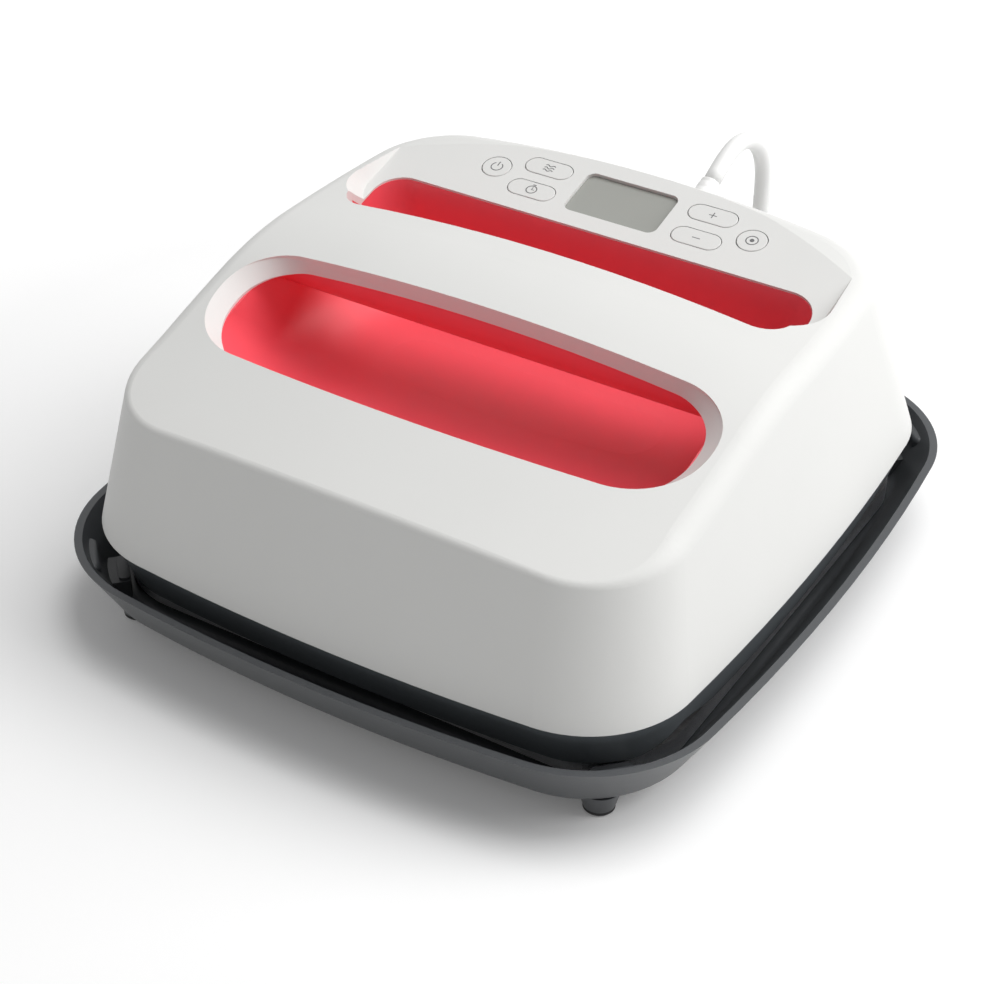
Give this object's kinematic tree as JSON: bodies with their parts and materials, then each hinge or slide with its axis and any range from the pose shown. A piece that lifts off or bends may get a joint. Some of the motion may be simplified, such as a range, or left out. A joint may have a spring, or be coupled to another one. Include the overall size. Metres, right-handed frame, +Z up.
{
  "type": "handheld heat press",
  "caption": "Hand heat press with a flat heated plate, through grip, sloping control deck and coiled power cord, resting on a footed safety base.",
  "frame": {"origin": "on the table under the middle of the safety base, cord left out", "axes": "+Z up, -Y the front of the press, +X its right side"},
  "size_m": [0.2684, 0.388, 0.1229],
  "materials": {
    "white_plastic": "smooth moulded, low sheen",
    "red_plastic": "smooth moulded, low sheen",
    "skirt_plastic": "moulded, satin",
    "dark_plastic": "moulded, satin",
    "button_plastic": "smooth moulded",
    "window": "glossy window over a blank display",
    "foot_rubber": "matt",
    "cord_jacket": "satin jacket",
    "blade_metal": "plated",
    "plate_metal": "machined",
    "coating": "non-stick coating",
    "steel": "plain",
    "wool": "ceramic fibre blanket",
    "board": "green solder resist",
    "lead_sleeve": "glass fibre sleeve"
  },
  "bodies": {
    "base": {"base_tray": "dark_plastic", "foot_pads": "foot_rubber", "corner_rests": "dark_plastic", "cord_coil": "cord_jacket", "plug_body": "cord_jacket", "plug_blades": "blade_metal"},
    "press": {"cord_lead": "cord_jacket", "cord_boot": "cord_jacket", "top_shell": "white_plastic", "grip_tub": "red_plastic", "handle_underside": "red_plastic", "heat_skirt": "skirt_plastic", "heat_plate": "plate_metal", "release_coating": "coating", "heating_element": "steel", "element_clamps": "steel", "insulation_blanket": "wool", "heat_shield": "steel", "plate_spacers": "steel", "plate_screws": "steel", "temperature_sensor": "steel", "thermal_cutout": "steel", "inner_frame": "skirt_plastic", "shell_screws": "steel", "power_board": "board", "power_parts": "dark_plastic", "terminal_block": "dark_plastic", "power_screws": "steel", "element_leads": "lead_sleeve", "control_board": "board", "button_switches": "dark_plastic", "board_screws": "steel", "beeper": "dark_plastic", "display_module": "dark_plastic", "display_window": "window"},
    "power_button": {"power_button": "button_plastic"},
    "heat_button": {"heat_button": "button_plastic"},
    "timer_button": {"timer_button": "button_plastic"},
    "plus_button": {"plus_button": "button_plastic"},
    "minus_button": {"minus_button": "button_plastic"},
    "start_button": {"start_button": "button_plastic"}
  },
  "joints": [
    {"name": "press_lift", "type": "slide", "parent": "base", "child": "press", "axis": [0, 0, 1], "range_m": [0, 0.06]},
    {"name": "power_button_travel", "type": "slide", "parent": "press", "child": "power_button", "axis": [0, 0.2385, -0.9711], "range_m": [0, 0.0006], "stiffness_N_per_m": 1500},
    {"name": "heat_button_travel", "type": "slide", "parent": "press", "child": "heat_button", "axis": [0, 0.2385, -0.9711], "range_m": [0, 0.0006], "stiffness_N_per_m": 1500},
    {"name": "timer_button_travel", "type": "slide", "parent": "press", "child": "timer_button", "axis": [0, 0.2385, -0.9711], "range_m": [0, 0.0006], "stiffness_N_per_m": 1500},
    {"name": "plus_button_travel", "type": "slide", "parent": "press", "child": "plus_button", "axis": [0, 0.2385, -0.9711], "range_m": [0, 0.0006], "stiffness_N_per_m": 1500},
    {"name": "minus_button_travel", "type": "slide", "parent": "press", "child": "minus_button", "axis": [0, 0.2385, -0.9711], "range_m": [0, 0.0006], "stiffness_N_per_m": 1500},
    {"name": "start_button_travel", "type": "slide", "parent": "press", "child": "start_button", "axis": [0, 0.2385, -0.9711], "range_m": [0, 0.0006], "stiffness_N_per_m": 1500}
  ]
}
